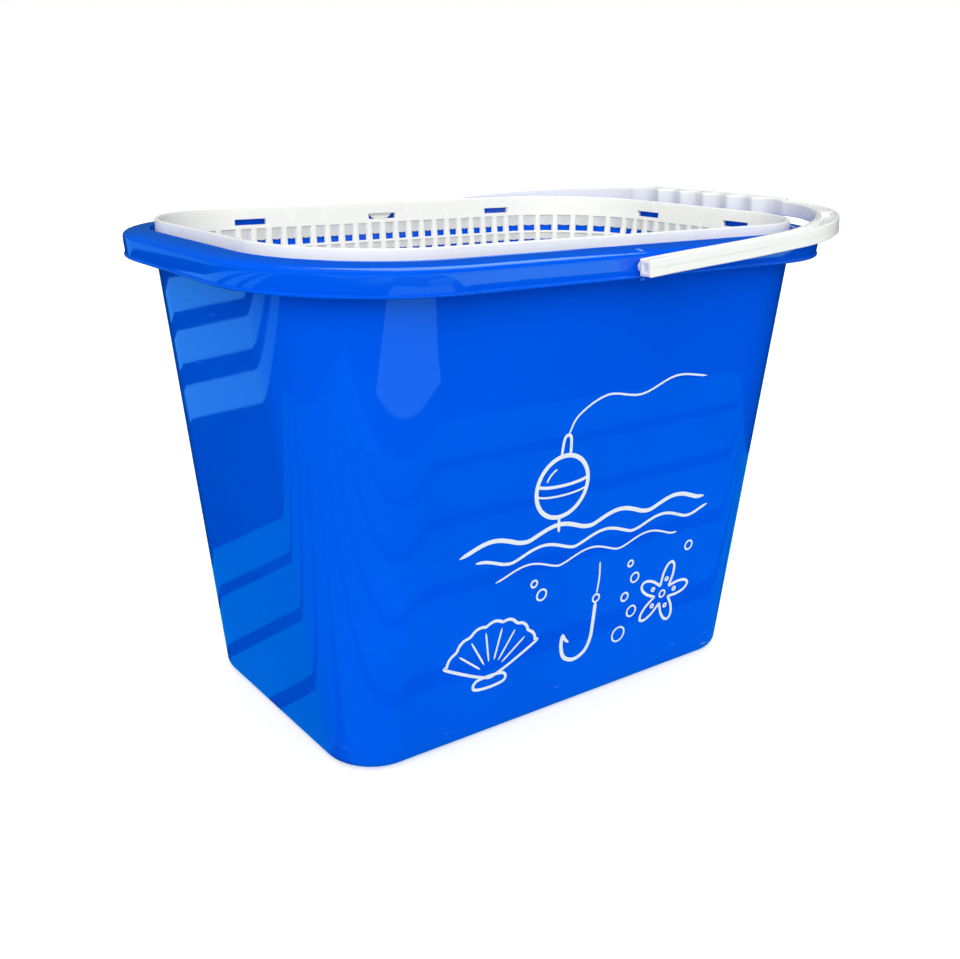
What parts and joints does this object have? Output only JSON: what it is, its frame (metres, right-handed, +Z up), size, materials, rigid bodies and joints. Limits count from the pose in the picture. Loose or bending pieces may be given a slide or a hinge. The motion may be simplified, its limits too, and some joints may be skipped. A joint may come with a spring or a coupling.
{
  "type": "fishing bucket with strainer",
  "caption": "Rectangular plastic fishing bucket with a rolled rim, a lift-out slotted strainer basket and a swinging bail with a finger grip.",
  "frame": {"origin": "centre of the tub's flat base, which stands on the floor", "axes": "+X along the bucket's length, towards the side where the bail rests; +Y across its width; +Z up"},
  "size_m": [0.369, 0.2828, 0.2734],
  "materials": {
    "tub": "smooth moulded blue plastic with a soft gloss",
    "strainer": "smooth moulded white plastic, semi-gloss",
    "bail": "smooth moulded white plastic, semi-gloss"
  },
  "bodies": {
    "tub": {"bucket_tub": "tub"},
    "strainer": {"strainer_basket": "strainer"},
    "bail": {"bail_handle": "bail"}
  },
  "joints": [
    {"name": "bail_swing", "type": "hinge", "parent": "tub", "child": "bail", "pos_m": [0, 0, 0.2527], "axis": [0, -1, 0], "range_deg": [0, 170.48]},
    {"name": "basket_lift", "type": "slide", "parent": "tub", "child": "strainer", "axis": [0, 0, 1], "range_m": [0, 0.11]}
  ]
}
